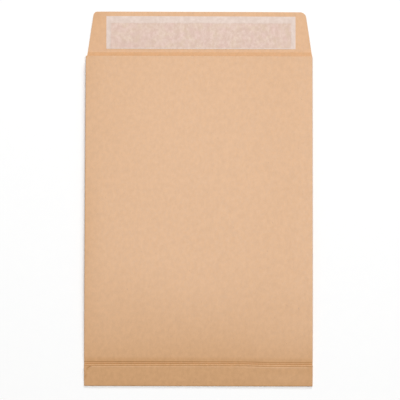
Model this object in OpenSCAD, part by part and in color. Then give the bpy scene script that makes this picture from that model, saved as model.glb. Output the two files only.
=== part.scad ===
// Gusseted paper pocket envelope, opened flat with its flap up
//
// The envelope is one folded and glued sheet of kraft paper. It lies on its
// front panel. X runs across it, Y from the folded base to the flap, Z is up,
// and the origin is under the middle of the whole length. Each side has a
// gusset folded inwards. The base is a block bottom, folded flat against the
// back panel. The flap carries an adhesive strip under a release liner.

/* [Envelope] */
// Width between the side folds
body_w = 229; // [120:1:330]
// Length from the base fold to the mouth edge of the back panel
body_l = 332; // [240:1:460]
// Width of each side gusset, which is also the depth of the block bottom
gusset = 22; // [18:1:40]
// Thickness of the kraft paper
paper_t = 0.2; // [0.14:0.01:0.26]
// Clear gap between two layers of paper that are folded flat together
layer_gap = 0.1; // [0.06:0.01:0.16]

/* [Pocket] */
// Height of the back panel above the floor along its side folds
pocket_h = 5.1; // [4.6:0.1:9]
// How much higher the back panel stands in the middle than at its sides
crown = 0.8; // [0.3:0.1:4]
// Length over which the middle rises to that height
crown_run = 200; // [80:5:220]
// Length over which the back panel comes down to the folded base
run_down = 105; // [60:1:170]
// Height of the short steep rise of the back panel just past the base
spring_h = 0.9; // [0:0.1:1.6]
// Length of that rise
spring_l = 4; // [2:0.5:8]
// Width of the glued lengthwise seam, which lies in the left gusset
seam_w = 8; // [4:0.5:8]

/* [Base] */
// Distance from the back fold of the base to the cut edge of the outer flap
cover_edge = 1.4; // [0.8:0.1:4]
// Depth at which the ends of the outer closing flap start to slant in
cover_shoulder = 9; // [3:0.5:12]
// How far each end of the outer closing flap slants in
cover_taper = 4; // [1:0.5:8]
// Corner radius of the outer closing flap
cover_r = 5; // [1:0.5:6]

/* [Flap] */
// Length of the flap beyond the mouth edge
flap_l = 46; // [36:0.5:70]
// Distance from the mouth edge to the crease that the flap folds on
crease_d = 5.2; // [2:0.1:7]
// How much narrower the flap is at each side of its tip
flap_taper = 6.9; // [2:0.1:12]
// Step at the left end of the flap, beside the mouth
flap_step = 1; // [0:0.1:2]
// Radius of the left corner of the flap
flap_r_left = 4; // [1:0.5:12]
// Radius of the right corner of the flap
flap_r_right = 6.5; // [1:0.5:12]
// Height to which the tip of the open flap springs up
flap_rise = 1; // [0.2:0.1:1.5]

/* [Closing strip] */
// Distance from the side folds of the envelope to the ends of the liner
liner_inset = 18.7; // [15:0.1:40]
// How far the strip is set off to the right
liner_offset = 1.8; // [-3:0.1:3]
// Distance from the mouth edge to the release liner
liner_from_mouth = 8.9; // [7.5:0.1:12]
// Distance from the release liner to the tip of the flap
liner_from_tip = 4; // [1:0.1:8]
// Thickness of the release liner
liner_t = 0.08; // [0.05:0.01:0.15]
// Thickness of the adhesive
glue_t = 0.1; // [0.05:0.01:0.2]
// Dry border of the liner at each end of the strip
border_end = 4.5; // [1:0.1:10]
// Dry border of the liner along the tip of the flap
border_tip = 7; // [1:0.1:10]
// Dry border of the liner along the mouth
border_mouth = 0.6; // [0.2:0.1:3]

/* [Hidden] */

// Steps in one fold, along the pocket, across the back panel, along the
// flap and in one rounded corner
fold_steps = 6;
pocket_steps = 20;
crown_steps = 12;
flap_steps = 8;
corner_steps = 6;
// Depth to which glued layers sink into each other, so that they are one
glue_in = 0.02;

half_w = body_w / 2;
half_g = gusset / 2;
total_l = body_l + flap_l;
cover_l = gusset - cover_edge;

// Two layers folded together lie one pitch apart. level(k) is the middle of
// layer k, counted up from the front panel on the floor. At the crease of
// the back panel the layers are: 0 front panel, 1 and 2 gusset halves, 3 back
// panel, 4 its turned-up end, 5 gusset corner, 6 end triangle, 7 base.
pitch = paper_t + layer_gap;
function level(k) = paper_t / 2 + k * pitch;

// The base fold runs from the front panel to the outer closing flap, which
// lies on layer 3 there, and the back fold runs between layers 4 and 7.
base_fold_r = (3 * pitch + paper_t) / 2;
base_fold_y = base_fold_r + paper_t / 2;
back_fold_r = 3 * pitch / 2;
back_fold_y = gusset - back_fold_r - paper_t / 2;
base_slope = 4 * pitch / (half_g - base_fold_y);
function base_lift(y) = (y - half_g) * base_slope;

// Runs from 0 to 1 with level ends while t does
function eased(t) = let (s = max(0, min(t, 1))) s * s * (3 - 2 * s);

// Height of the back panel's side folds at y, and how much higher its middle
// is there. It is pressed flat under the base, springs up past it, rises
// less and less towards the mouth, and bulges.
function back_z(y) =
    let (s = max(0, min((y - gusset) / run_down, 1)))
    level(3) + spring_h * eased((y - gusset) / spring_l)
        + (pocket_h - level(3) - spring_h) * (1 - pow(1 - s, 3));
function bulge(y) = crown * eased((y - gusset) / crown_run);

// Places of the pocket's rings: at the crease of the base, at the back fold,
// and from there to the mouth, closest together where the panel springs up
pocket_ys = concat(
    [half_g],
    [for (i = [0:pocket_steps]) gusset + (body_l - gusset) * pow(i / pocket_steps, 2)]
);

// Points of an arc around middle, from angle a1 to a2
function arc(middle, r, a1, a2, steps) =
    [for (i = [0:steps]) let (a = a1 + (a2 - a1) * i / steps) middle + r * [cos(a), sin(a)]];

// Right half of a section through the sheet's middle, in the X-Z plane: side
// fold, gusset in and out again, side fold. z lists the heights of the lower
// panel, the lower gusset half at the side and at its inner crease, the
// upper half at its inner crease and at the side, and the upper panel.
function side_path(depth, z) =
    let (
        edge = half_w - paper_t / 2,
        r1 = (z[1] - z[0]) / 2,
        r2 = (z[3] - z[2]) / 2,
        r3 = (z[5] - z[4]) / 2
    )
    concat(
        arc([edge - r1, z[0] + r1], r1, -90, 90, fold_steps),
        arc([edge + paper_t - depth + r2, z[2] + r2], r2, 270, 90, fold_steps),
        arc([edge - r3, z[4] + r3], r3, -90, 90, fold_steps)
    );

// Upper panel from right to left, higher in the middle by rise
function panel_path(z, rise) =
    [for (i = [1:crown_steps - 1]) let (s = 1 - 2 * i / crown_steps)
        [s * (half_w - pitch), z + rise * (1 - s * s)]];

function mirrored(path) = [for (i = [len(path) - 1:-1:0]) [-path[i][0], path[i][1]]];

// Whole section as a closed loop, anticlockwise with the front panel below
function section(depth, z, rise) =
    let (side = side_path(depth, z))
    concat(side, panel_path(z[5], rise), mirrored(side));

function unit(v) = v / norm(v);

// A path moved sideways by d, to its right where d is positive
function shifted(path, d, closed) =
    let (n = len(path))
    [for (i = [0:n - 1])
        let (
            before = closed || i > 0 ? path[(i + n - 1) % n] : 2 * path[i] - path[i + 1],
            after = closed || i < n - 1 ? path[(i + 1) % n] : 2 * path[i] - path[i - 1],
            along = unit(unit(path[i] - before) + unit(after - path[i]))
        )
        path[i] + d * [along[1], -along[0]]];

// Solid between two stacks of like rings, an outer and an inner one. Closed
// rings make a tube, and open ones make a bent strip.
module sheet_loft(outer, inner, closed) {
    rings = len(outer);
    n = len(outer[0]);
    last = closed ? n - 1 : n - 2;
    function o(j, i) = j * n + i % n;
    function s(j, i) = (rings + j) * n + i % n;
    skins = [for (j = [0:rings - 2], i = [0:last]) each [
        [o(j, i), o(j, i + 1), o(j + 1, i + 1)],
        [o(j, i), o(j + 1, i + 1), o(j + 1, i)],
        [s(j, i), s(j + 1, i + 1), s(j, i + 1)],
        [s(j, i), s(j + 1, i), s(j + 1, i + 1)]
    ]];
    ends = [for (i = [0:last]) each [
        [o(0, i), s(0, i), s(0, i + 1)],
        [o(0, i), s(0, i + 1), o(0, i + 1)],
        [o(rings - 1, i), s(rings - 1, i + 1), s(rings - 1, i)],
        [o(rings - 1, i), o(rings - 1, i + 1), s(rings - 1, i + 1)]
    ]];
    edges = closed ? [] : [for (j = [0:rings - 2]) each [
        [o(j, 0), o(j + 1, 0), s(j + 1, 0)],
        [o(j, 0), s(j + 1, 0), s(j, 0)],
        [o(j, n - 1), s(j + 1, n - 1), o(j + 1, n - 1)],
        [o(j, n - 1), s(j, n - 1), s(j + 1, n - 1)]
    ]];
    points = concat([for (ring = outer) each ring], [for (ring = inner) each ring]);
    polyhedron(points = points, faces = concat(skins, ends, edges));
}

function at_y(path, y) = [for (p = path) [p[0], y, p[1]]];

module tube(ys, sections) {
    steps = [0:len(ys) - 1];
    sheet_loft(
        [for (j = steps) at_y(shifted(sections[j], paper_t / 2, true), ys[j])],
        [for (j = steps) at_y(shifted(sections[j], -paper_t / 2, true), ys[j])],
        true
    );
}

// An outline in the Y-Z plane, drawn out over the width of the envelope
module across(outline) {
    rotate([90, 0, 90]) linear_extrude(body_w, center = true) polygon(outline);
}

// Fold that runs across the whole envelope
module fold_across(middle, r, a1, a2) {
    outside = arc(middle, r + paper_t / 2, a1, a2, fold_steps);
    inside = arc(middle, r - paper_t / 2, a2, a1, fold_steps);
    across(concat(outside, inside));
}

// Corner of an anticlockwise outline, rounded with an arc
function rounded(before, corner, after, r) =
    let (
        u = unit(before - corner),
        v = unit(after - corner),
        half = acos(u * v) / 2,
        a = atan2(u[0], -u[1])
    )
    arc(corner + unit(u + v) * r / sin(half), r, a, a + 180 - 2 * half, corner_steps);

// Section of the pocket at y. The gusset halves keep their width, so the
// gusset is less deep where the back panel stands high.
function pocket_section(y) =
    let (
        z = back_z(y),
        middle = (z + level(0)) / 2,
        lift = middle - level(1.5),
        depth = sqrt(half_g * half_g - lift * lift)
    )
    section(depth, [level(0), level(1), middle - pitch / 2, middle + pitch / 2, z - pitch, z], bulge(y));

// Front panel, side gussets and back panel, from the crease to the mouth
module pocket() {
    tube(pocket_ys, [for (y = pocket_ys) pocket_section(y)]);
}

// Glued overlap on the outside of the left gusset's upper half, from the
// base to the mouth
module seam() {
    ys = [for (y = pocket_ys) if (y >= gusset) y];
    strips = [for (y = ys)
        let (
            path = pocket_section(y),
            crease = len(path) - 2 * (fold_steps + 1),
            side = path[crease - 1]
        )
        [side, side + seam_w * unit(path[crease] - side)]];
    sheet_loft(
        [for (j = [0:pocket_steps]) at_y(shifted(strips[j], 1.5 * paper_t, false), ys[j])],
        [for (j = [0:pocket_steps]) at_y(shifted(strips[j], paper_t / 2 - glue_in, false), ys[j])],
        false
    );
}

// Base from the base fold to the crease in the back panel: front panel,
// lower gusset half, end triangle, base
function front_base_section(y) =
    let (lift = base_lift(y))
    section(y, [level(0), level(1), level(1), level(6) + lift, level(6) + lift, level(7) + lift], 0);

// Base from that crease to the back fold: turned-up end of the back panel,
// gusset corner, end triangle, base
function back_base_section(y) =
    section(gusset - y, [for (k = [4, 5, 5, 6, 6, 7]) level(k) + base_lift(y)], 0);

// Crease in which the back panel and the gussets' upper halves turn up: the
// upper part of the pocket's first section, swept around the crease
module back_crease() {
    ring = pocket_section(half_g);
    turns = [for (i = [0:fold_steps]) 180 - 180 * i / fold_steps];
    upper = [for (i = [2 * fold_steps + 1:len(ring) - 2 * fold_steps - 2]) ring[i]];
    function swept(path, a) = [for (p = path)
        let (r = level(3.5) - p[1]) [p[0], half_g - r * sin(a), level(3.5) - r * cos(a)]];
    sheet_loft(
        [for (a = turns) swept(shifted(upper, paper_t / 2, false), a)],
        [for (a = turns) swept(shifted(upper, -paper_t / 2, false), a)],
        false
    );
}

module base() {
    tube([base_fold_y, half_g], [front_base_section(base_fold_y), front_base_section(half_g)]);
    tube([half_g, back_fold_y], [back_base_section(half_g), back_base_section(back_fold_y)]);
    back_crease();
    fold_across([base_fold_y, level(0) + base_fold_r], base_fold_r, 270, 90);
    fold_across([back_fold_y, level(5.5) + base_lift(back_fold_y)], back_fold_r, -90, 90);
}

// Outer closing flap, which runs on from the base fold and is glued to the
// base. Its cut edge lies just short of the back fold.
module cover() {
    top = level(7) + paper_t / 2;
    z1 = top + base_lift(base_fold_y);
    z2 = top + base_lift(cover_l);
    side = [[half_w, base_fold_y], [half_w, cover_shoulder]];
    tip = [half_w - cover_taper, cover_l];
    corner = rounded(side[1], tip, [-tip[0], cover_l], cover_r);
    right = concat(side, corner);
    intersection() {
        linear_extrude(z2 + 2 * paper_t) polygon(concat(right, mirrored(right)));
        across([
            [base_fold_y, z1 - glue_in],
            [cover_l, z2 - glue_in],
            [cover_l, z2 + paper_t],
            [base_fold_y, z1 + paper_t]
        ]);
    }
}

// Middle line of the flap from the mouth to its tip: flat up to the crease,
// then springing up a little
flap_path = concat(
    [[0, level(0)]],
    [for (i = [0:flap_steps]) let (s = i / flap_steps)
        [crease_d + (flap_l - crease_d) * s, level(0) + flap_rise * sin(90 * s)]]
);

// What lies between two heights over the flap's middle line, cut to outline
module on_flap(outline, from, to) {
    high = shifted(flap_path, -to, false);
    turned = [for (i = [len(high) - 1:-1:0]) high[i]];
    translate([0, body_l, 0]) intersection() {
        linear_extrude(2 * flap_rise + 4 * pitch, center = true) polygon(outline);
        across(concat(shifted(flap_path, -from, false), turned));
    }
}

module flap() {
    foot_l = [-half_w + flap_step, 0];
    foot_r = [half_w, 0];
    tip_r = [half_w - flap_taper, flap_l];
    tip_l = [-half_w + flap_step + flap_taper, flap_l];
    outline = concat(
        [foot_l, foot_r],
        rounded(foot_r, tip_r, tip_l, flap_r_right),
        rounded(tip_r, tip_l, foot_l, flap_r_left)
    );
    on_flap(outline, -paper_t / 2, paper_t / 2);
}

// Rectangle of the release liner, made smaller by the given borders
function strip_outline(end, tip, mouth) =
    let (
        x = half_w - liner_inset - end,
        y1 = liner_from_mouth + mouth,
        y2 = flap_l - liner_from_tip - tip
    )
    [for (p = [[-x, y1], [x, y1], [x, y2], [-x, y2]]) p + [liner_offset, 0]];

module kraft_sheet() {
    color("burlywood") translate([0, -total_l / 2, 0]) {
        pocket();
        seam();
        base();
        cover();
        flap();
    }
}

module adhesive_strip() {
    color("mistyrose") translate([0, -total_l / 2, 0])
        on_flap(strip_outline(border_end, border_tip, border_mouth), paper_t / 2, paper_t / 2 + glue_t);
}

module release_liner() {
    color("antiquewhite") translate([0, -total_l / 2, 0])
        on_flap(strip_outline(0, 0, 0), paper_t / 2 + glue_t, paper_t / 2 + glue_t + liner_t);
}

kraft_sheet();
adhesive_strip();
release_liner();
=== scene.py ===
# %% [markdown]
# # A gusseted paper envelope, open and lying on its front
#
# The real object is one sheet of brown kraft paper, folded and glued into a
# tall pocket with a gusset down each side and a block bottom that is folded
# flat. Its flap is open and carries a strip of adhesive under a release liner.
#
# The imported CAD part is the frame: it says how large everything is and where
# it lies. What is made here is the paper itself, with finer folds, the gentle
# waves that a real sheet has, and its colour, fibres and sheen.

# %% The frame
import math

import bmesh
import bpy
import numpy as np
from mathutils import Euler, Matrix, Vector


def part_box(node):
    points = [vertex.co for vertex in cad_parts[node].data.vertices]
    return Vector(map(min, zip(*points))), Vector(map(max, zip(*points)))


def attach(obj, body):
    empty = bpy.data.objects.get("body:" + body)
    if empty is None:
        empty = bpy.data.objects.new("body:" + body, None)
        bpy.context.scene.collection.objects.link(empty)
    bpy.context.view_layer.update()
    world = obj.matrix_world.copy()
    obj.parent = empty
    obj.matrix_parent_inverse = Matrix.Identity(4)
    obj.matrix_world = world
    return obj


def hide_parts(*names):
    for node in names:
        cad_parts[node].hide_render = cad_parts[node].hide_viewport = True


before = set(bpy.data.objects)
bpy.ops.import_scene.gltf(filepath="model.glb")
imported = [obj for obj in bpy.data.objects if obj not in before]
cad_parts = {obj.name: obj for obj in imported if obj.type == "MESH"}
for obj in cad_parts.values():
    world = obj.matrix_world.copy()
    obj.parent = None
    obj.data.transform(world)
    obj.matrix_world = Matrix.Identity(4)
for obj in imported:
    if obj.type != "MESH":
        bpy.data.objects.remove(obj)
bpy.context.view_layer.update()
sheet_low, sheet_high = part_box("kraft_sheet")
liner_low, liner_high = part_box("release_liner")
glue_low, glue_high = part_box("adhesive_strip")
print("nodes:", sorted(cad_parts))

# %% [markdown]
# ## Sizes
#
# The width, the whole length and the strip come from the boxes of the CAD
# nodes, so they always agree with the frame. The other main sizes repeat the
# values of the CAD source, in metres. They could be typed wherever they are
# used, but a size with a name is easy to check and is changed in one place.
# The ones that several parts share are here, and each of the others stands
# beside the first shape that needs it. What is finer than the CAD has sizes
# of its own: the steps past the base, the bead along its back fold, the
# corners of the closing flap, the lean of the mouth, the rise of the flap.
#
# Lengths along the envelope are counted from the folded base, as the maker
# of an envelope does, and `START` moves them into the frame.

# %% Sizes
WIDTH = sheet_high.x - sheet_low.x
HALF_W = WIDTH / 2
START = sheet_low.y
FLAP_L = 0.046
BODY_L = sheet_high.y - sheet_low.y - FLAP_L
GUSSET = 0.022
HALF_G = GUSSET / 2
PAPER_T = 0.0002
PITCH = 0.0003
print(f"body {1000 * WIDTH:.0f} x {1000 * BODY_L:.0f} mm, flap {1000 * FLAP_L:.1f} mm")

# %% [markdown]
# ## Heights of the layers
#
# Folded paper is a pile of layers. Their heights could be set by eye, but
# layers a third of a millimetre apart soon cut each other, so each height is
# a formula. `level` says how high the middle of each layer lies, counted from
# the front panel on the floor. The back panel is pressed flat under the base
# and springs up in two short steps just past it: one where it comes out from
# under the back fold, and one at the score line beside it, with a low and
# longer one behind that. They show as a double dark line. From there it rises
# less and less towards the mouth, as a sheet that is held at one end does.

# %% Levels and ramps
def level(k):
    """Height of layer k: half a sheet, plus k times the pitch of two layers."""
    return PAPER_T / 2 + k * PITCH


def smooth(t):
    """Runs from 0 to 1 with level ends: 3 t^2 - 2 t^3, with t held in 0..1."""
    t = np.clip(t, 0, 1)
    return t * t * (3 - 2 * t)


def ramp(t, start, length):
    """Runs smoothly from 0 at start to 1 one length further on."""
    return smooth((t - start) / length)


print("heights of the layers in mm:", [round(1000 * level(k), 1) for k in range(8)])

# %% Heights of the back panel and the base
POCKET_H = 0.0051
CROWN = 0.0008
CROWN_L = 0.2
RUN_DOWN = 0.105
# For each step: how far past the base it starts, its length and its height
SPRINGS = ((0.0, 0.0012, 0.00026), (0.0018, 0.0012, 0.0004), (0.0023, 0.0045, 0.00014))
SPRING_H = sum(step[2] for step in SPRINGS)
BASE_FOLD_R = (3 * PITCH + PAPER_T) / 2
BASE_FOLD_Y = BASE_FOLD_R + PAPER_T / 2
BASE_SLOPE = 4 * PITCH / (HALF_G - BASE_FOLD_Y)


def spring(y):
    """Height of the steps at y: each adds its height times a ramp."""
    return sum(height * ramp(y, GUSSET + at, length) for at, length, height in SPRINGS)


def back_z(y):
    """Height of the back panel's side folds: level 3, plus the steps, plus
    the rest of the height times 1 - (1 - s)^3, where s is the share of the
    run-down."""
    s = np.clip((y - GUSSET) / RUN_DOWN, 0, 1)
    rest = POCKET_H - level(3) - SPRING_H
    return level(3) + spring(y) + rest * (1 - (1 - s) ** 3)


def bulge(y):
    """How much higher the middle of the back panel is than its sides: the
    crown times a ramp over the crown's length."""
    return CROWN * ramp(y, GUSSET, CROWN_L)


def base_lift(y):
    """How far the folded base rises above its layers' own height at y: its
    slope times the distance from the crease."""
    return (y - HALF_G) * BASE_SLOPE


print(f"mouth {1000 * back_z(BODY_L):.1f} mm high at the sides")

# %% [markdown]
# ## Arcs and straight runs
#
# Every fold is an arc, and between two folds the paper runs straight. A fold
# could be a sharp corner with a bevel on it. Here the arcs are worked out for
# all the stations along the envelope at once, each with its own radius, so a
# fold is as round as the paper allows wherever it is. A panel has its points
# close together beside its folds, where the shading needs them.

# %% Arcs and runs
FOLD_STEPS = 8
HALF_STEPS = 4
HALF_SHARES = np.linspace(0, 1, HALF_STEPS + 1)
DENSE_SHARE = 0.02
DENSE_END = np.linspace(0, DENSE_SHARE, 9)
EVEN_MIDDLE = np.linspace(DENSE_SHARE, 1 - DENSE_SHARE, 61)[1:-1]
PANEL_SHARES = np.concatenate([DENSE_END, EVEN_MIDDLE, 1 - DENSE_END[::-1]])
PANEL_STEPS = len(PANEL_SHARES) - 1


def arcs(x, z, r, start, end):
    """Arcs around (x, z) from angle start to end, one for each station: the
    middle plus r times (cosine, sine)."""
    a = np.radians(np.linspace(start, end, FOLD_STEPS + 1))
    x, z, r = (np.asarray(v, float)[..., None] for v in (x, z, r))
    return np.stack(np.broadcast_arrays(x + r * np.cos(a), z + r * np.sin(a)), -1)


def between(a, b, shares):
    """Points that part the straight run from the end of a to the start of b
    at the given shares t of it: (1 - t) times one end plus t times the other."""
    t = shares[1:-1, None]
    return a[:, -1:] * (1 - t) + b[:, :1] * t


print(f"{FOLD_STEPS} steps in a fold, {PANEL_STEPS} across a panel")

# %% [markdown]
# ## One cross-section of folded paper
#
# Every part of the pocket and of its folded base has the same kind of
# section: a lower panel, a gusset folded in on each side and an upper panel.
# It could be drawn as one polyline by hand. Put together from arcs and runs
# instead, it stays right when a height or a depth changes along the envelope.

# %% Sections
PANEL_X = (2 * PANEL_SHARES - 1) * (HALF_W - PAPER_T / 2 - PITCH / 2)


def side_run(depth, z):
    """Right side of the sections: fold, gusset in and out again, fold. z has
    the six heights of the layers from the lower panel to the upper one, and
    a fold's radius is half the gap between its two layers."""
    edge = np.full(len(z[0]), HALF_W - PAPER_T / 2)
    r1, r2, r3 = ((z[i + 1] - z[i]) / 2 for i in (0, 2, 4))
    low = arcs(edge - r1, z[0] + r1, r1, -90, 90)
    inner = arcs(edge + PAPER_T - depth + r2, z[2] + r2, r2, 270, 90)
    high = arcs(edge - r3, z[4] + r3, r3, -90, 90)
    parts = [low, between(low, inner, HALF_SHARES), inner, between(inner, high, HALF_SHARES), high]
    return np.concatenate(parts, 1)


def sections(depth, z, rise):
    """Closed sections, one for each station: right side, upper panel from
    right to left, left side, lower panel from left to right. The upper panel
    is crowned by rise times 1 - s^2, where s is the share of the half-width."""
    right = side_run(depth, z)
    left = right[:, ::-1] * [-1, 1]
    upper = between(right, left, PANEL_SHARES)
    upper[..., 0] = -PANEL_X[1:-1]
    upper[..., 1] += rise[:, None] * (1 - (upper[..., 0] / HALF_W) ** 2)
    return np.concatenate([right, upper, left, between(left, right, PANEL_SHARES)], 1)


def at_stations(path, y):
    """Section points (x, z) and their stations y as points in the frame."""
    y = np.broadcast_to(y[:, None] + START, path.shape[:2])
    return np.stack([path[..., 0], y, path[..., 1]], -1)


SIDE_N = side_run(np.ones(1), [np.full(1, level(k)) for k in range(6)]).shape[1]
print("points on one side of a section:", SIDE_N)

# %% [markdown]
# ## The pocket
#
# The pocket is a stack of such sections from the crease at the base to the
# mouth. A box with its sides pushed in would have no paper between its
# layers, and a cloth simulation would not keep folds this tight. The gusset
# halves keep their width, so where the back panel stands high the gusset is
# less deep: the depth is the side of a right triangle whose longest side is
# half the gusset. `shaped` then gives the plain sections what handling did to
# them: the steps past the base are sharp on the left and soften to the right,
# the folded gussets lift the front panel by a hair at the mouth, and the back
# panel's cut edge leans out over it. In the gap below that edge it is dark,
# which draws the thin line along the mouth.

# %% Pocket
SOFT_L = 0.08
SOFTENED = 0.35
# Where a ramp starts, and its length
SOFTENS_ACROSS = (-0.06, 0.11)
MOUTH_RISE = 0.00065
MOUTH_RISE_L = 0.03
MOUTH_LEAN = 0.0004
UNDER_ROWS = 4
NEAR_ROWS = 18
POCKET_ROWS = 112
CROWDING = 1.5


def pocket_sections(y):
    """Sections of the pocket: the two lower layers lie on the floor, the
    gusset's inner fold is halfway up, and depth^2 is half the gusset squared
    less the square of how far that fold is lifted."""
    z = back_z(y)
    middle = (z + level(0)) / 2
    lift = middle - level(1.5)
    depth = np.sqrt(HALF_G ** 2 - lift ** 2)
    low = [np.full(len(y), level(k)) for k in (0, 1)]
    return sections(depth, low + [middle - PITCH / 2, middle + PITCH / 2, z - PITCH, z], bulge(y))


def crispness(x):
    """How sharp the steps are at x: 1 on the left, less on the right."""
    return 1 - SOFTENED * ramp(x, *SOFTENS_ACROSS)


def shaped(path, y):
    """Section points as points in the frame, each moved by its share of the
    back panel's height: softened steps, and the raised and leaning mouth."""
    points = at_stations(path, y)
    share = np.minimum((points[..., 2] - level(0)) / (back_z(y) - level(0))[:, None], 1)
    softer = SPRING_H * ramp(y, GUSSET, SOFT_L) - spring(y)
    mouth = ramp(y, BODY_L - MOUTH_RISE_L, MOUTH_RISE_L)[:, None]
    points[..., 2] += (1 - crispness(points[..., 0])) * softer[:, None] * share
    points[..., 2] += MOUTH_RISE * mouth * (1 - share)
    points[..., 1] += MOUTH_LEAN * mouth * share
    return points


near_base = np.linspace(GUSSET, GUSSET + SPRINGS[1][0] + SPRINGS[1][1], NEAR_ROWS)
rest_y = near_base[-1] + (BODY_L - near_base[-1]) * np.linspace(0, 1, POCKET_ROWS + 1) ** CROWDING
under_base = np.linspace(HALF_G, GUSSET, UNDER_ROWS + 1)
pocket_y = np.concatenate([under_base[:-1], near_base[:-1], rest_y])
pocket = shaped(pocket_sections(pocket_y), pocket_y)
print("pocket grid:", pocket.shape)

# %% [markdown]
# ## The flap's outline
#
# The flap is a tapered tab with two round corners. It could be cut out of a
# plane with a boolean. Here each row of points simply ends where the outline
# is, so the cut edge is clean and its corners are true arcs. The outer
# closing flap at the base is a tab as well and uses the same two functions.

# %% Tab outline
def tab_side(y, y1, y2, x1, x2, r):
    """Half-width at y of a tab that is straight to y1, slants from x1 to x2
    at y2, and has a corner of radius r: past the point where the arc touches
    the slant, the half-width is the arc's middle plus its chord."""
    slope = (x2 - x1) / (y2 - y1)
    stretch = math.hypot(1, slope)
    arc_y = y2 - r
    arc_x = x1 + slope * (arc_y - y1) - r * stretch
    line = x1 + slope * np.maximum(y - y1, 0)
    chord = arc_x + np.sqrt(np.maximum(r * r - (y - arc_y) ** 2, 0))
    return np.where(y > arc_y - r * slope / stretch, chord, line)


def tab_rows(y1, y2, straight, r, turn):
    """Rows of a tab: even ones, then ones that follow its round corners, at
    r times the sine of evenly spaced angles."""
    even = np.linspace(y1, y2 - r, straight + 1)
    a = np.linspace(0, math.pi / 2, turn + 1)[1:]
    return np.concatenate([even, y2 - r + r * np.sin(a)])


print("half-width of a tab of 10 x 4 at its middle:", tab_side(np.array(2.0), 0, 4, 5, 4, 1))

# %% [markdown]
# ## The flap
#
# The flap runs on from the front panel, so its first row is that panel's own
# edge at the mouth: that way there is no seam where the real sheet has none.
# It slopes down to its crease, which lies a few millimetres past the mouth,
# and from there it springs up a little towards its tip, mostly on the left.
# Beside the stiff strip its two ends relax and turn down again, and the right
# one curls up at its side. A flat plane would do for the outline, but not for
# the light, which shows every one of these turns as a change of tone.

# %% Flap
CREASE_D = 0.0052
FLAP_TAPER = 0.0069
FLAP_STEP = 0.001
FLAP_R_LEFT = 0.004
FLAP_R_RIGHT = 0.0065
FLAP_RISE = 0.0006
STIFF_RISE = 0.0009
FLAP_END_LEFT = 0.022
FLAP_END_RIGHT = 0.06
FLAP_CURL = 0.0007
FLAP_CURL_W = 0.018
CURLS_FULLY_AT = 0.25


def flap_z(x, y):
    """Height of the flap's middle: a straight slope down to the crease, then
    a quarter sine up to its tip. It rises most over the stiff strip, less at
    the left end and hardly at all at the right one, whose side curls up by
    the square of how near its edge is."""
    foot = MOUTH_RISE * np.clip(1 - (y - BODY_L) / CREASE_D, 0, 1)
    s = np.clip((y - BODY_L - CREASE_D) / (FLAP_L - CREASE_D), 0, 1)
    end = HALF_W - FLAP_TAPER * s - np.abs(x)
    stiff = np.sin(np.pi / 2 * np.clip(end / np.where(x < 0, FLAP_END_LEFT, FLAP_END_RIGHT), 0, 1))
    lift = np.sin(np.pi / 2 * s)
    curl = FLAP_CURL * np.clip(1 - end / FLAP_CURL_W, 0, 1) ** 2 * (x > 0)
    curl = curl * np.clip(s / CURLS_FULLY_AT, 0, 1)
    return level(0) + foot + curl + lift * (FLAP_RISE * (1 - x / HALF_W) + STIFF_RISE * stiff)


def flap_side(step, r):
    """The flap's half-width at each of its rows, on a side that starts one
    step further in and has a corner of radius r."""
    return tab_side(flap_y, 0, FLAP_L, HALF_W - step, HALF_W - step - FLAP_TAPER, r)


foot_rows = np.linspace(0, CREASE_D, 9)[1:-1]
flap_y = np.concatenate([foot_rows, tab_rows(CREASE_D, FLAP_L, straight=30, r=FLAP_R_RIGHT, turn=14)])
flap_right = flap_side(0, FLAP_R_RIGHT)
flap_left = flap_side(FLAP_STEP, FLAP_R_LEFT)
flap_x = -flap_left[:, None] * (1 - PANEL_SHARES) + flap_right[:, None] * PANEL_SHARES
flap_along = np.broadcast_to(flap_y[:, None] + BODY_L, flap_x.shape)
flap = np.stack([flap_x, flap_along + START, flap_z(flap_x, flap_along)], -1)
print("flap grid:", flap.shape)

# %% [markdown]
# ## The block bottom
#
# The block bottom is the part of an envelope that takes the most skill to
# fold. The base is squared up, its two side triangles are tucked in, and it
# is folded flat against the back panel. Folding a flat sheet step by step
# would be true to the maker's work, but hard to keep exact, so what lies
# there at the end is built straight away. Two more stacks of sections make
# it: one from the base fold to the crease and one from the crease to the
# back fold. Short bent strips make the crease itself and the two long folds.
# The back fold springs open a little, which leaves a bead along it.

# %% Block bottom
COVER_L = GUSSET - 0.002
BEAD_H = 0.00016
BEAD_L = 0.0007
BEAD_GAP = 0.0001
BACK_FOLD_R = 3 * PITCH / 2
BACK_FOLD_Y = GUSSET - BACK_FOLD_R - PAPER_T / 2


def bead(y):
    """Height of the bead: past the cover's cut edge, one short ramp."""
    return BEAD_H * ramp(y, COVER_L + BEAD_GAP, BEAD_L)


def base_front(y):
    """Sections from the base fold to the crease: three layers stay down, and
    three lie on the pile and rise with it. The gusset is as deep as y."""
    lift = base_lift(y)
    heights = [level(k) + 0 * y for k in (0, 1, 1)] + [level(k) + lift for k in (6, 6, 7)]
    return sections(y, heights, 0 * y)


def base_back(y):
    """Sections from the crease to the back fold: all six layers lie on the
    pile, the top one has the bead, and the gusset is as deep as what is left
    of its full width, which is that width less y."""
    heights = [level(k) + base_lift(y) for k in (4, 5, 5, 6, 6)]
    return sections(GUSSET - y, heights + [level(7) + base_lift(y) + bead(y)], 0 * y)


front_y = np.linspace(BASE_FOLD_Y, HALF_G, 7)
bead_y = COVER_L + np.linspace(-BEAD_GAP, BEAD_L + BEAD_GAP, 7)
# The last two rows are close together, which keeps the shading crisp there
last_y = BACK_FOLD_Y - np.array([0.0001, 0])
back_y = np.concatenate([np.linspace(HALF_G, COVER_L - 0.0005, 5), bead_y, last_y])
base_parts = [
    at_stations(base_front(front_y), front_y),
    at_stations(base_back(back_y), back_y),
]
print("layers of the base:", [p.shape for p in base_parts])


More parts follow.
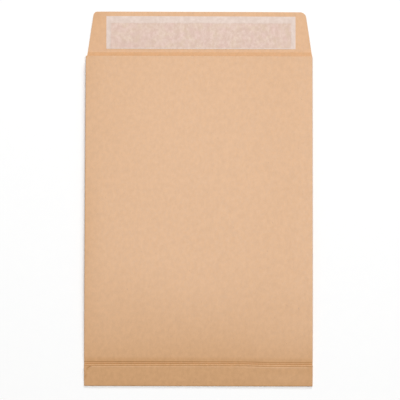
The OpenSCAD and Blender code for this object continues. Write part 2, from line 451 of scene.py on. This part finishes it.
# %% Crease and long folds
def swept_crease():
    """Upper part of the pocket's first section, turned by half a turn around
    the crease: each point keeps its distance from the crease's height."""
    ring = pocket_sections(np.array([HALF_G]))[0]
    first = FOLD_STEPS + HALF_STEPS + FOLD_STEPS
    upper = ring[first:2 * SIDE_N + PANEL_STEPS - 1 - first]
    a = np.radians(np.linspace(180, 0, FOLD_STEPS + 1))[:, None]
    r = level(3.5) - upper[:, 1]
    x = np.broadcast_to(upper[:, 0], (len(a), len(upper)))
    return np.stack([x, HALF_G - r * np.sin(a) + START, level(3.5) - r * np.cos(a)], -1)


def long_fold(y, z, r, start, end, rise=0.0):
    """Fold across the whole width: an arc in the Y-Z plane, drawn out in X.
    rise lifts the arc more and more from its start to its end."""
    bend = arcs(y + START, z, r, start, end)
    bend[:, 1] += rise * np.linspace(0, 1, len(bend))
    bend = np.broadcast_to(bend[:, None], (len(bend), len(PANEL_X), 2))
    return np.concatenate([np.broadcast_to(PANEL_X[:, None], bend.shape[:2] + (1,)), bend], -1)


back_fold_z = level(5.5) + base_lift(BACK_FOLD_Y)
fold_parts = [
    swept_crease(),
    long_fold(BASE_FOLD_Y, level(0) + BASE_FOLD_R, BASE_FOLD_R, 270, 90),
    long_fold(BACK_FOLD_Y, back_fold_z, BACK_FOLD_R, -90, 90, bead(BACK_FOLD_Y)),
]
print("crease and long folds:", [p.shape for p in fold_parts])

# %% [markdown]
# ## The outer closing flap
#
# The outer closing flap runs on from the base fold and is glued over the
# base. It could be a flat plate laid on top. But its cut edge ends just short
# of the back fold, and the paper lifts there by a hair, because paste never
# reaches the very edge. That small lift is what makes the edge show as a fine
# line, so the flap gets a height of its own, and rows close together there.

# %% Closing flap
COVER_SHOULDER = 0.006
COVER_TAPER = 0.0022
COVER_R = 0.005
PLUMP = 0.00005
PLUMP_UP_L = 0.006
PLUMP_DOWN_L = 0.0011
COVER_LIFT = 0.0005
COVER_CURL = 0.0022
COVER_CURLS_ALONG = (0.007, 0.004)
EDGE_ROWS = np.linspace(0.0001, 0.0012, 6)


def cover_z(y, inset):
    """On the base, one sheet up. The paste holds it down at its long edge
    and leaves its left end free: it swells a little and comes down again in
    its last millimetre, and curls up at that end. inset is how far from its
    left end a point lies."""
    plump = PLUMP * smooth(y / PLUMP_UP_L) * smooth((COVER_L - y) / PLUMP_DOWN_L)
    end = smooth((COVER_CURL - inset) / COVER_CURL) * ramp(y, *COVER_CURLS_ALONG)
    return level(7) + PAPER_T + base_lift(y) + plump + COVER_LIFT * end


cover_rows = tab_rows(BASE_FOLD_Y, COVER_L, straight=12, r=COVER_R, turn=10)
cover_y = np.sort(np.append(cover_rows, COVER_L - EDGE_ROWS))
cover_half = tab_side(cover_y, COVER_SHOULDER, COVER_L, PANEL_X[-1], HALF_W - COVER_TAPER, COVER_R)
cover_x = cover_half[:, None] * (2 * PANEL_SHARES - 1)
cover_along = np.broadcast_to(cover_y[:, None], cover_x.shape)
cover_inset = cover_x + cover_half[:, None]
cover = np.stack([cover_x, cover_along + START, cover_z(cover_along, cover_inset)], -1)
print("cover grid:", cover.shape)

# %% [markdown]
# ## The lengthwise seam
#
# A flat sheet becomes a tube by one glued seam along it: an overlap of the
# sheet on the outside of the left gusset. It could be left out, as nobody
# sees it from above, but from the side it is one of the things that tell a
# real envelope. It follows the gusset's own path, one sheet further out.

# %% Seam
SEAM_W = 0.008
SEAM_START = 0.0006

seam_y = np.append(pocket_y[UNDER_ROWS:-1:2], BODY_L)
gusset_path = pocket_sections(seam_y)[:, SIDE_N + PANEL_STEPS - 1 + FOLD_STEPS:]
along = gusset_path[:, HALF_STEPS] - gusset_path[:, 0]
along /= np.linalg.norm(along, axis=1)[:, None]
across = np.stack([along[:, 1], -along[:, 0]], -1) * PAPER_T
reach = np.linspace(SEAM_START, SEAM_W, 5)
seam_path = gusset_path[:, :1] + across[:, None] + along[:, None] * reach[:, None]
seam = shaped(seam_path, seam_y)
print("seam grid:", seam.shape)

# %% [markdown]
# ## Waves
#
# No real sheet is quite flat: damp and handling leave long shallow waves,
# and the glued base pulls short puckers into the panel above it. A
# displacement by noise would look much the same, but it would push thin
# layers into each other. Here they are sums of a few sine waves, and all the
# layers at one place move in proportion to their height, so the sheet on the
# floor stays down and none cuts through another. The left side also stands a
# little higher than the right one, and beside each fold the panel rolls.

# %% Long waves and puckers
WAVE_H = 0.00011
WAVE_Y = 0.148
WAVE_SLANT_X = 0.61
WAVE_X = 0.212
CROSS_H = 0.00006
CROSS_X = 0.093
CROSS_SLANT_Y = 0.39
CROSS_Y = 0.267
PUCKER_H = 0.00003
PUCKER_X = (0.031, 0.0187)
PUCKER_L = 0.014
# Where a ramp starts, and its length
PUCKERS_ALONG = (0.016, 0.006)


def turns(share, phase):
    """The angle, in radians, at a place given in wavelengths."""
    return 2 * np.pi * share + phase


def long_waves(x, y):
    """Height of the long waves: one set mostly along the envelope and one
    mostly across it, each a product of two sines. The phases shift them."""
    body = np.sin(turns(y / WAVE_Y + x / WAVE_SLANT_X, 0.4)) * np.cos(turns(x / WAVE_X, 0.9))
    cross = np.sin(turns(x / CROSS_X - y / CROSS_SLANT_Y, 1.7)) * np.sin(turns(y / CROSS_Y, 0.3))
    return WAVE_H * body + CROSS_H * cross


def puckers(x, from_base):
    """Height of the puckers: two sines across the envelope that fade out
    from the base by e to the power of minus the distance."""
    both = np.sin(turns(x / PUCKER_X[0], 0.8)) + 0.7 * np.sin(turns(x / PUCKER_X[1], 2.1))
    fade = np.exp(-np.maximum(from_base - GUSSET, 0) / PUCKER_L)
    return PUCKER_H * both * fade * ramp(from_base, *PUCKERS_ALONG)


print("long wave in the middle of the sheet in mm:", round(1000 * float(long_waves(0.0, 0.0)), 3))

# %% Sides, and all waves together
CALM_W = 0.02
LEFT_HIGH = 0.0008
RIGHT_LOW = 0.0007
ROLL_W = 0.02
ROLL_LEFT = 0.0006
ROLL_LEFT_EASES = 0.00035
ROLL_RIGHT = 0.00045
# Where each ramp starts, and its length
LEFT_OUTWARDS = (-0.03, 0.1)
LEFT_ALONG = (0.045, 0.085)
RIGHT_OUTWARDS = (0.03, 0.08)
RIGHT_ALONG = (0.02, 0.055)
EASES_ALONG = (0.12, 0.12)


def sides(x, from_base):
    """Height that the left side gains and the right one loses, and the roll
    beside each fold: down on the left, up on the right, by the square of how
    near the fold is."""
    left = LEFT_HIGH * ramp(-x, *LEFT_OUTWARDS) * ramp(from_base, *LEFT_ALONG)
    right = RIGHT_LOW * ramp(x, *RIGHT_OUTWARDS) * ramp(from_base, *RIGHT_ALONG)
    roll_left = ROLL_LEFT_EASES * ramp(from_base, *EASES_ALONG) - ROLL_LEFT
    near = np.clip(1 - (HALF_W - np.abs(x)) / ROLL_W, 0, 1) ** 2
    return left - right + np.where(x < 0, roll_left, ROLL_RIGHT) * near


def waves(x, y):
    """All of this together, in metres of height at the back panel. The waves
    and puckers die out beside the side folds, and nothing of it is left on
    the flap, because the strip holds it flat."""
    from_base = y - START
    calm = smooth((HALF_W - np.abs(x)) / CALM_W)
    height = calm * (long_waves(x, y) + puckers(x, from_base)) + sides(x, from_base)
    return height * (1 - ramp(from_base, BODY_L, CREASE_D))


highest = np.abs(waves(pocket[..., 0], pocket[..., 1])).max()
print("highest wave in mm:", round(1000 * float(highest), 2))

# %% [markdown]
# ## A base that isn't quite square
#
# A hand-folded base is never quite square: on the right its back fold runs a
# little low and its layers are pressed flatter. Both could be folded that way
# from the start, but then no formula above would be a plain one, so the
# points are moved at the end, by amounts that fade out smoothly.

# %% Skew and pressing
SKEW = 0.00065
FLATTER = 0.015
# Where each ramp starts, and its length
SKEW_OUTWARDS = (0.042, 0.035)
SKEW_GROWS = (HALF_G, 0.008)
SKEW_FADES = (0.026, 0.03)
FLATTER_OUTWARDS = (0.02, 0.08)


def skew(x, y):
    """How far the base's layers are folded short on the right: all of it
    along the back fold, fading out to both sides of it."""
    from_base = y - START
    near_fold = ramp(from_base, *SKEW_GROWS) * (1 - ramp(from_base, *SKEW_FADES))
    return SKEW * ramp(x, *SKEW_OUTWARDS) * near_fold


def pressed(x, y, z):
    """How much lower the base's upper layers lie on the right, where it is
    pressed flatter: a slope from its first fold to its last, times each
    layer's share of the pile."""
    from_base = y - START
    top = level(7) + base_lift(from_base)
    pile = np.clip((z - level(3)) / np.maximum(top - level(3), PITCH), 0, 1)
    slope = FLATTER * ramp(x, *FLATTER_OUTWARDS) * (from_base < GUSSET + PAPER_T)
    return slope * pile * np.maximum(from_base - BASE_FOLD_Y, 0)


def waved(points):
    """Moves each point up by the waves times its share of the full height,
    down where the base is pressed flatter, and back by the skew."""
    x, y, z = (points[..., k] for k in range(3))
    share = np.clip((z - level(0)) / POCKET_H, 0, 1)
    return np.stack([x, y - skew(x, y), z + share * waves(x, y) - pressed(x, y, z)], -1)


print("back fold's skew in mm:", round(1000 * float(skew(HALF_W, START + BACK_FOLD_Y)), 2))

# %% [markdown]
# ## Mesh helpers
#
# Each grid becomes quads between its rows and columns. Where two parts meet,
# their points coincide and are merged, so the mesh is one folded sheet like
# the real one. The faces could be given a thickness by hand, but Solidify
# does it evenly on both sides of the middle surface. The result is applied,
# because only then can the edges of the cut paper be marked as sharp while
# the folds stay smooth.

# %% From grid to faces
def numbered(grid, first=0):
    """The number of each point of a grid in its mesh, counted from first."""
    return first + np.arange(grid[..., 0].size).reshape(grid.shape[:2])


def grid_quads(index, closed):
    """Four corners of each cell: a point, its neighbour in the row, and the
    same two in the next row. A closed grid also joins last and first."""
    right = np.roll(index, -1, 1) if closed else index[:, 1:]
    here = index if closed else index[:, :-1]
    return np.stack([here[:-1], right[:-1], right[1:], here[1:]], -1).reshape(-1, 4)


print("corners of one cell:", grid_quads(np.arange(4).reshape(2, 2), False)[0])

# %% From faces to paper
MERGE_WITHIN = 2e-6
CUT_EDGE_ANGLE = 50


def mesh_of(name, points, quads):
    """One surface from points and quads: points that meet are merged, and
    all faces are turned the same way, outwards."""
    mesh = bpy.data.meshes.new(name)
    mesh.from_pydata(points.tolist(), [], quads.tolist())
    thin = bmesh.new()
    thin.from_mesh(mesh)
    bmesh.ops.remove_doubles(thin, verts=thin.verts, dist=MERGE_WITHIN)
    bmesh.ops.recalc_face_normals(thin, faces=thin.faces)
    thin.to_mesh(mesh)
    thin.free()
    piece = bpy.data.objects.new(name, mesh)
    bpy.context.scene.collection.objects.link(piece)
    return piece


def thickened(piece, thickness):
    """Gives the surface its thickness and keeps only cut edges sharp. The
    side that faced inwards takes the piece's last material slot."""
    solid = piece.modifiers.new("thickness", "SOLIDIFY")
    solid.thickness = thickness
    solid.offset = 0
    solid.material_offset = len(piece.data.materials) - 1
    bpy.context.view_layer.update()
    done = piece.evaluated_get(bpy.context.evaluated_depsgraph_get())
    mesh = bpy.data.meshes.new_from_object(done)
    piece.modifiers.clear()
    piece.data = mesh
    mesh.name = piece.name
    mesh.shade_smooth()
    mesh.set_sharp_from_angle(angle=math.radians(CUT_EDGE_ANGLE))


print(f"points within {1e6 * MERGE_WITHIN:.0f} micrometres are merged")

# %% [markdown]
# ## One folded sheet
#
# The real envelope is a single sheet, so all the grids go into one mesh. They
# could stay separate objects, but then every fold between two of them would
# show as a crack. The flap's grid starts with the front panel's own points at
# the mouth, and all the other parts meet their neighbours along shared rows.

# %% Kraft sheet
pocket_index = numbered(pocket)
front_row = np.append(pocket_index[-1, 2 * SIDE_N + PANEL_STEPS - 2:], pocket_index[-1, 0])
blocks = [pocket.reshape(-1, 3)]
quads = [grid_quads(pocket_index, True)]
count = pocket_index.size
open_parts = fold_parts + [cover, seam]
for grid, closed in [(p, True) for p in base_parts] + [(p, False) for p in open_parts]:
    index = numbered(grid, count)
    blocks.append(grid.reshape(-1, 3))
    quads.append(grid_quads(index, closed))
    count += index.size
blocks.append(flap.reshape(-1, 3))
quads.append(grid_quads(np.vstack([front_row, numbered(flap, count)]), False))

paper = mesh_of("kraft_envelope", waved(np.concatenate(blocks)), np.concatenate(quads))
# Two empty slots for the paper's two sides
paper.data.materials.append(None)
paper.data.materials.append(None)
thickened(paper, PAPER_T)
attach(paper, "root")
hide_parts("kraft_sheet")
print("kraft sheet:", len(paper.data.vertices), "vertices,", len(paper.data.polygons), "faces")

# %% [markdown]
# ## Adhesive and release liner
#
# The adhesive is a thin band that was rolled onto the flap, and the liner is
# a strip of siliconised paper laid over it. The liner is wider than the band,
# so its borders are dry and sink down beside it by less than a hair. Two flat
# cards would stick out of the flap or into it. Both strips are made from the
# flap's own height instead, so they bend with it.

# %% Heights of the strips
GLUE_T = 0.0001
GLUE_FILM_T = 0.9 * GLUE_T
LINER_T = 0.00008
STRIP_NUDGE = 0.0006
GLUE_SLOPE_W = 0.0015
DRY_SINK = 0.75
RIPPLE_H = 0.000012
RIPPLE_X = 0.037
RIPPLE_Y = 0.029
LINER_GAP = 0.00002


def strip_grid(low, high, rise, cols, rows):
    """A rectangle in plan that lies on the flap, raised by rise(x, y), a
    little nearer to the mouth than its box."""
    x, y = np.meshgrid(np.linspace(low.x, high.x, cols), np.linspace(low.y, high.y, rows))
    laid = y - STRIP_NUDGE
    return np.stack([x, laid, flap_z(x, laid - START) + rise(x, y)], -1)


def glue_share(x, y):
    """1 over the adhesive and 0 beside it, with a narrow smooth slope."""
    dx = np.minimum(x - glue_low.x, glue_high.x - x)
    dy = np.minimum(y - glue_low.y, glue_high.y - y)
    return smooth(np.minimum(dx, dy) / GLUE_SLOPE_W + 1)


def glue_rise(x, y):
    """The adhesive's middle: half a sheet and half the band up."""
    return PAPER_T / 2 + GLUE_T / 2 + 0 * x


def liner_rise(x, y):
    """The liner's middle: on the band or sunk beside it, with a faint ripple
    that is the product of two sines."""
    ripple = RIPPLE_H * np.sin(turns(x / RIPPLE_X, 0.6)) * np.sin(turns(y / RIPPLE_Y, 0.0))
    held = GLUE_T * (1 - DRY_SINK + DRY_SINK * glue_share(x, y))
    return PAPER_T / 2 + held + LINER_T / 2 + ripple + LINER_GAP


glue_grid = strip_grid(glue_low, glue_high, glue_rise, cols=97, rows=13)
liner_grid = strip_grid(liner_low, liner_high, liner_rise, cols=193, rows=43)
print("glue grid:", glue_grid.shape, "liner grid:", liner_grid.shape)


# %% Strips
def strip_piece(name, grid, thickness, node):
    """A strip as a piece that stands for its CAD node."""
    piece = mesh_of(name, grid.reshape(-1, 3), grid_quads(numbered(grid), False))
    thickened(piece, thickness)
    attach(piece, "root")
    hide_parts(node)
    print(name, len(piece.data.polygons), "faces")
    return piece


glue = strip_piece("glue_band", glue_grid, GLUE_FILM_T, "adhesive_strip")
liner = strip_piece("liner_strip", liner_grid, LINER_T, "release_liner")

# %% [markdown]
# ## Node helpers
#
# A procedural material is a small circuit. It can be wired by hand in the
# shader editor, and in a script each node and each wire takes a line of its
# own. These helpers keep it readable: `add` makes a node, sets what it is
# given and joins its sockets, and the others name what is used most.

# %% Nodes and links
def add(tree, kind, settings=None, **inputs):
    """A new node. settings are its own properties. inputs are values for
    its sockets, or sockets of other nodes to read from, by name or i0, i1."""
    made = tree.nodes.new(kind)
    for key, value in (settings or {}).items():
        setattr(made, key, value)
    for key, value in inputs.items():
        by_place = key[0] == "i" and key[1:].isdigit()
        socket = made.inputs[int(key[1:]) if by_place else key.replace("_", " ")]
        if isinstance(value, bpy.types.NodeSocket):
            tree.links.new(value, socket)
        else:
            socket.default_value = value
    return made


def surface(name):
    """A new material with its shader, and the object coordinates it reads."""
    made = bpy.data.materials.new(name)
    made.use_nodes = True
    tree = made.node_tree
    shader = tree.nodes["Principled BSDF"]
    place = add(tree, "ShaderNodeTexCoord").outputs["Object"]
    return made, tree, shader, place


print("materials before the first one here:", len(bpy.data.materials))


# %% Named nodes
def math_node(tree, operation, a, b=0.0, c=0.0):
    """One sum: the operation on a and b, and on c where it takes three."""
    return add(tree, "ShaderNodeMath", {"operation": operation}, i0=a, i1=b, i2=c).outputs[0]


def mapped(tree, value, low, high, to_low=0.0, to_high=1.0):
    """The value's smooth share of low to high, as the same share of to_low
    to to_high."""
    made = add(tree, "ShaderNodeMapRange", {"interpolation_type": "SMOOTHSTEP"},
               Value=value, From_Min=low, From_Max=high, To_Min=to_low, To_Max=to_high)
    return made.outputs[0]


def mixed(tree, factor, a, b):
    """Colour a times 1 less the factor, plus colour b times the factor."""
    return add(tree, "ShaderNodeMix", {"data_type": "RGBA"}, i0=factor, i6=a, i7=b).outputs[2]


def noise(tree, vector, scale=1.0, detail=2.0, rough=0.5):
    """Cloudy noise, about 0.5 on average: detail adds finer and finer
    clouds, each rough times as strong as the last."""
    made = add(tree, "ShaderNodeTexNoise", Vector=vector, Scale=scale, Detail=detail, Roughness=rough)
    return made.outputs["Fac"]


def vector_math(tree, operation, vector, **inputs):
    """One step on a vector, such as its product with another."""
    return add(tree, "ShaderNodeVectorMath", {"operation": operation}, i0=vector, **inputs).outputs[0]


print("named nodes:", [f.__name__ for f in (math_node, mapped, mixed, noise, vector_math)])

# %% [markdown]
# ## Paper fibres
#
# Kraft and liner are both paper, so they share one effect, kept as a node
# group. Held to the light, paper looks cloudy, because its fibres settle in
# flocks. Close up, single fibres lie mostly along the machine's direction
# and stand out a little. A scan of paper could show that, but it would be an
# image, and stretched noise in the object's own coordinates never repeats.
# The group gives the clouds, the fibres, a relief for the bump, and the rare
# dark specks of bark that unbleached pulp has.

# %% Fibre group
GROUP_INPUTS = (("Cloud size", 0.004), ("Fibre size", 0.0004), ("Speck share", 0.5))
SPECK_LIMITS = (0.86, 0.74)
SPECK_EDGE = 14.0


def fibre_group():
    """Clouds are noise, fibres are noise stretched in two directions, and
    specks are where a third stretched noise passes a limit."""
    tree = bpy.data.node_groups.new("paper_fibres", "ShaderNodeTree")
    face = tree.interface
    face.new_socket("Place", in_out="INPUT", socket_type="NodeSocketVector")
    for name, value in GROUP_INPUTS:
        face.new_socket(name, in_out="INPUT", socket_type="NodeSocketFloat").default_value = value
    for name in ("Clouds", "Fibres", "Relief", "Specks"):
        face.new_socket(name, in_out="OUTPUT", socket_type="NodeSocketFloat")
    ins = tree.nodes.new("NodeGroupInput").outputs
    outs = tree.nodes.new("NodeGroupOutput").inputs

    def scaled(size, stretch, turn):
        """The place turned in plan by some degrees, stretched along its own Y
        and divided by a size."""
        turned = add(tree, "ShaderNodeMapping", Vector=ins["Place"], Rotation=(0, 0, math.radians(turn)))
        part = vector_math(tree, "MULTIPLY", turned.outputs[0], i1=(1, 1 / stretch, 1))
        return vector_math(tree, "SCALE", part, Scale=math_node(tree, "DIVIDE", 1.0, size))

    clouds = noise(tree, scaled(ins["Cloud size"], stretch=1.4, turn=0), detail=3.0, rough=0.6)
    long_fibres = noise(tree, scaled(ins["Fibre size"], stretch=7.0, turn=8), rough=0.6)
    cross_fibres = noise(tree, scaled(ins["Fibre size"], stretch=5.0, turn=74), rough=0.6)
    across = math_node(tree, "MULTIPLY", cross_fibres, 0.4)
    fibres = math_node(tree, "MULTIPLY_ADD", long_fibres, 0.6, across)
    relief = math_node(tree, "MULTIPLY_ADD", clouds, 0.35, fibres)
    fleck_size = math_node(tree, "MULTIPLY", ins["Fibre size"], 1.6)
    flecks = noise(tree, scaled(fleck_size, stretch=4.0, turn=-21), detail=0.0)
    limit = mapped(tree, ins["Speck share"], 0.0, 1.0, *SPECK_LIMITS)
    specks = math_node(tree, "MULTIPLY", math_node(tree, "SUBTRACT", flecks, limit), SPECK_EDGE)
    specks = math_node(tree, "MINIMUM", math_node(tree, "MAXIMUM", specks, 0.0), 1.0)
    for name, value in (("Clouds", clouds), ("Fibres", fibres), ("Relief", relief), ("Specks", specks)):
        tree.links.new(value, outs[name])
    return tree


FIBRES = fibre_group()
print("group outputs:", [s.name for s in FIBRES.interface.items_tree if s.in_out == "OUTPUT"])

# %% [markdown]
# ## Kraft paper
#
# Unbleached kraft is a warm light brown. One side is glazed on a hot drum, so
# it has a soft broad sheen that fades as the sheet turns away from the light.
# That sheen, more than any stain, makes the difference in tone between the
# level part of the panel and its fall towards the base. The tone could be
# painted on as a gradient, but it would be wrong from every other side, so it
# is left to the roughness and the lamps. Clouds and fibres vary the colour and
# the roughness a little, and a fine bump breaks up the gloss.

# %% Kraft paper
SPECK = (0.27, 0.14, 0.07, 1)
SPECK_STRENGTH = 0.55
CLOUD_PART = 0.47
FIBRE_PART = 0.53
TONE_RANGE = (0.34, 0.66)
# For each side of the paper: its light and dark colour, its least and most roughness
GLAZED = ((0.612, 0.331, 0.142, 1), (0.533, 0.285, 0.118, 1), 0.33, 0.41)
ROUGH = ((0.648, 0.349, 0.152, 1), (0.569, 0.301, 0.126, 1), 0.36, 0.44)


def kraft_paper(name, light, dark, smoothest, roughest):
    """Kraft paper whose colour lies between dark and light by its clouds and
    fibres, with bark specks and a roughness that follows the fibres."""
    kraft, tree, shader, place = surface(name)
    fibres = add(tree, "ShaderNodeGroup", {"node_tree": FIBRES}, Place=place,
                 Cloud_size=0.0035, Fibre_size=0.0005, Speck_share=0.35).outputs
    tone = math_node(tree, "MULTIPLY_ADD", fibres["Clouds"], CLOUD_PART,
                     math_node(tree, "MULTIPLY", fibres["Fibres"], FIBRE_PART))
    colour = mixed(tree, mapped(tree, tone, *TONE_RANGE), dark, light)
    speck = math_node(tree, "MULTIPLY", fibres["Specks"], SPECK_STRENGTH)
    tree.links.new(mixed(tree, speck, colour, SPECK), shader.inputs["Base Color"])
    rough = mapped(tree, fibres["Fibres"], 0.3, 0.7, smoothest, roughest)
    tree.links.new(rough, shader.inputs["Roughness"])
    bump = add(tree, "ShaderNodeBump", Height=fibres["Relief"], Strength=0.35, Distance=0.00006)
    tree.links.new(bump.outputs[0], shader.inputs["Normal"])
    shader.inputs["Specular IOR Level"].default_value = 0.5
    print(name, "nodes:", len(tree.nodes))
    return kraft


paper.data.materials[0] = kraft_paper("kraft_glazed", *GLAZED)
paper.data.materials[1] = kraft_paper("kraft_rough", *ROUGH)

# %% [markdown]
# ## Release liner
#
# The liner is thin white paper with a silicone coat. Where it lies on the
# adhesive it is wetted through and shows the pinkish, mottled glue below,
# and its dry borders stay whitish. The wetted part could be a piece of its
# own, but it is the same sheet, so it is a mask. Its edge is a rectangle
# worked out from the object coordinates and the box of the adhesive node,
# blurred and made a little uneven with noise, as rolled glue is. Along it the
# colour is a little darker, in a faint line.

# %% Wetted part
LINER_DRY = (0.622, 0.482, 0.410, 1)
LINER_WET = (0.575, 0.400, 0.318, 1)
LINER_PINK = (0.612, 0.408, 0.344, 1)
LINER_OCHRE = (0.602, 0.435, 0.316, 1)
LINER_RIM = (0.500, 0.352, 0.285, 1)
DRY_MOUTH = 0.0006
WOBBLE = 0.0012
RIM_W = 0.0007
RIM_STRENGTH = 0.3

release, tree, shader, place = surface("release_liner_paper")
spot = add(tree, "ShaderNodeSeparateXYZ", Vector=place).outputs
blots = noise(tree, place, scale=250.0, detail=3.0, rough=0.65)
tints = noise(tree, place, scale=95.0)
wobble = math_node(tree, "MULTIPLY", math_node(tree, "SUBTRACT", blots, 0.5), WOBBLE)


def inside_by(axis, low, high):
    """How far inside two limits the point is: the half-length between them
    less its distance from their middle."""
    off = math_node(tree, "ABSOLUTE", math_node(tree, "SUBTRACT", axis, (low + high) / 2))
    return math_node(tree, "SUBTRACT", (high - low) / 2, off)


inside_x = inside_by(spot["X"], glue_low.x, glue_high.x)
inside_y = inside_by(spot["Y"], glue_low.y + DRY_MOUTH - STRIP_NUDGE, glue_high.y - STRIP_NUDGE)
edge = math_node(tree, "ADD", math_node(tree, "MINIMUM", inside_x, inside_y), wobble)
wet = mapped(tree, edge, -0.0004, 0.0005)
# A faint darker line in the colour along the glue's edge
rim = mapped(tree, math_node(tree, "ABSOLUTE", edge), 0.0, RIM_W, RIM_STRENGTH, 0.0)
print("masks of the liner:", wet.node.bl_idname, rim.node.bl_idname)

# %% Liner's colour, gloss and relief
glow = mixed(tree, mapped(tree, tints, 0.35, 0.65), LINER_OCHRE, LINER_PINK)
mottle = mixed(tree, mapped(tree, blots, 0.35, 0.68, 0.15, 0.85), LINER_WET, glow)
strip_tone = mixed(tree, rim, mixed(tree, wet, LINER_DRY, mottle), LINER_RIM)
tree.links.new(strip_tone, shader.inputs["Base Color"])
fibres = add(tree, "ShaderNodeGroup", {"node_tree": FIBRES}, Place=place,
             Cloud_size=0.003, Fibre_size=0.0003, Speck_share=0.0).outputs
tree.links.new(mapped(tree, fibres["Clouds"], 0.3, 0.7, 0.34, 0.46), shader.inputs["Roughness"])
bump = add(tree, "ShaderNodeBump", Height=fibres["Relief"], Strength=0.25, Distance=0.00004)
tree.links.new(bump.outputs[0], shader.inputs["Normal"])
liner.data.materials.clear()
liner.data.materials.append(release)
print("liner nodes:", len(tree.nodes))

# %% [markdown]
# ## Adhesive
#
# The band of adhesive is a soft, slightly yellow, rubbery film. It shows only
# at its rim, between the flap and the liner, as a wet-looking edge. A clear
# gel would need refraction for what is hardly a line, so it is an opaque
# smooth film, with shallow streaks from the roller.

# %% Adhesive
GUM_DARK = (0.72, 0.52, 0.40, 1)
GUM_LIGHT = (0.79, 0.61, 0.48, 1)
# How often the streaks change in a metre, along X, Y and Z
STREAKS = (60, 900, 60)

gum, tree, shader, place = surface("adhesive_film")
streaks = noise(tree, vector_math(tree, "MULTIPLY", place, i1=STREAKS))
colour = mixed(tree, mapped(tree, streaks, 0.3, 0.7), GUM_DARK, GUM_LIGHT)
tree.links.new(colour, shader.inputs["Base Color"])
tree.links.new(mapped(tree, streaks, 0.3, 0.7, 0.15, 0.3), shader.inputs["Roughness"])
glue.data.materials.clear()
glue.data.materials.append(gum)
print("adhesive nodes:", len(tree.nodes))

# %% [markdown]
# ## Floor
#
# The envelope lies on a plain pale floor, wide enough to fill every view. It
# is a stage, not a part of the object. A world of flat white could stand in
# for it, but then nothing would catch the soft shadow below the side folds.

# %% Floor
FLOOR_Z = -0.0003
FLOOR_HALF = 6
FLOOR_TONES = ((0.93, 0.93, 0.93, 1), (0.945, 0.945, 0.94, 1))

floor_mesh = bpy.data.meshes.new("floor")
corners = [(-1, -1), (1, -1), (1, 1), (-1, 1)]
floor_corners = [(x * FLOOR_HALF, y * FLOOR_HALF, FLOOR_Z) for x, y in corners]
floor_mesh.from_pydata(floor_corners, [], [(0, 1, 2, 3)])
floor = bpy.data.objects.new("floor", floor_mesh)
bpy.context.scene.collection.objects.link(floor)
ground, tree, shader, place = surface("pale_floor")
pale = mixed(tree, noise(tree, place, scale=90.0), *FLOOR_TONES)
tree.links.new(pale, shader.inputs["Base Color"])
shader.inputs["Roughness"].default_value = 0.8
floor_mesh.materials.append(ground)
print(f"floor {2 * FLOOR_HALF} m wide")

# %% [markdown]
# ## Light
#
# Soft light comes from a large softbox above, set off towards the flap and a
# little to the right, and a second one lower down on that side draws out the
# folds. A sun lamp would give hard shadows, and a bright world none at all.
# The world adds only enough to keep the shaded sides from going black.

# %% Light
WORLD_STRENGTH = 0.18


def softbox(name, turn, off, distance, size, watts):
    """An area light that looks at the middle of the envelope. turn is its
    direction in plan, clockwise from the flap's, and off is its angle from
    straight above, both in degrees."""
    data = bpy.data.lights.new(name, "AREA")
    data.shape = "SQUARE"
    data.size = size
    data.energy = watts
    lamp = bpy.data.objects.new(name, data)
    t, o = math.radians(turn), math.radians(off)
    away = Vector((math.sin(t) * math.sin(o), math.cos(t) * math.sin(o), math.cos(o)))
    lamp.location = away * distance
    lamp.rotation_euler = (-away).to_track_quat("-Z", "Y").to_euler()
    lamp.visible_camera = False
    bpy.context.scene.collection.objects.link(lamp)
    print(f"{name}: {watts} W, {distance} m away")


softbox("top_softbox", turn=14, off=6, distance=3.0, size=1.5, watts=63)
softbox("low_softbox", turn=15, off=60, distance=7.0, size=2.4, watts=240)
world = bpy.data.worlds.new("studio")
world.use_nodes = True
world.node_tree.nodes["Background"].inputs["Color"].default_value = (1, 1, 1, 1)
world.node_tree.nodes["Background"].inputs["Strength"].default_value = WORLD_STRENGTH
bpy.context.scene.world = world
bpy.context.scene.view_settings.view_transform = "Standard"

# %% [markdown]
# ## Camera
#
# The camera looks straight down from far above, tilted by a few degrees, as
# the slight narrowing of the envelope towards its flap shows. An orthographic
# one would lose that. Its lens follows from the focal length in pixels and
# the width of the picture.

# %% Camera
CAMERA_AT = (0.0016, -0.1506, 2.2)
CAMERA_TURN = (3.865, 0.0, 0.141)
FOCAL_PX = 2187
IMAGE_PX = 400
SENSOR_MM = 36

camera_data = bpy.data.cameras.new("camera")
camera_data.sensor_width = SENSOR_MM
camera_data.lens = SENSOR_MM * FOCAL_PX / IMAGE_PX
camera_data.clip_end = 20
camera = bpy.data.objects.new("camera", camera_data)
camera.location = CAMERA_AT
camera.rotation_euler = Euler([math.radians(a) for a in CAMERA_TURN], "XYZ")
bpy.context.scene.collection.objects.link(camera)
bpy.context.scene.camera = camera
print(f"lens {camera_data.lens:.0f} mm at {CAMERA_AT[2]} m")
